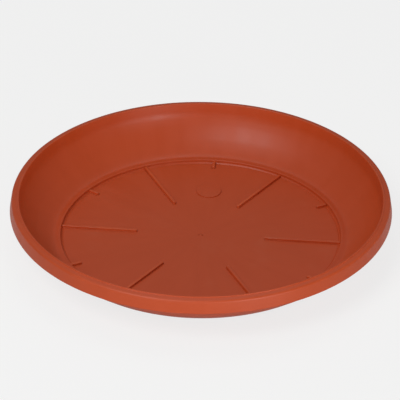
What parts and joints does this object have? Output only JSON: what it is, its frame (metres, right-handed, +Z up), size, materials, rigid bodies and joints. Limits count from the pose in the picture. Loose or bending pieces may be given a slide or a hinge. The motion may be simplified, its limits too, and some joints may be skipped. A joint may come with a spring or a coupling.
{
  "type": "plant saucer",
  "caption": "Wide round plant saucer with a bowl-shaped wall, a hanging rim band, a round floor set one step below a flat ledge, and radial floor ribs that keep a pot clear of the water.",
  "frame": {"origin": "middle of the circle that the saucer stands on, at the underside of the foot ring", "axes": "+Z up through the middle of the saucer; X and Y lie in the floor, with the blank boss beside +Y"},
  "size_m": [0.3798, 0.3798, 0.0506],
  "materials": {
    "terracotta_plastic": "satin moulded polypropylene, terracotta colour"
  },
  "bodies": {
    "root": {"floor_plate": "terracotta_plastic", "foot_ring": "terracotta_plastic", "side_wall": "terracotta_plastic", "rim_lip": "terracotta_plastic", "rim_band": "terracotta_plastic", "blank_boss": "terracotta_plastic", "gate_vestige": "terracotta_plastic", "long_rib_1": "terracotta_plastic", "long_rib_2": "terracotta_plastic", "long_rib_3": "terracotta_plastic", "long_rib_4": "terracotta_plastic", "long_rib_5": "terracotta_plastic", "long_rib_6": "terracotta_plastic", "short_rib_1": "terracotta_plastic", "short_rib_2": "terracotta_plastic", "short_rib_3": "terracotta_plastic", "short_rib_4": "terracotta_plastic", "short_rib_5": "terracotta_plastic", "short_rib_6": "terracotta_plastic"}
  },
  "joints": []
}
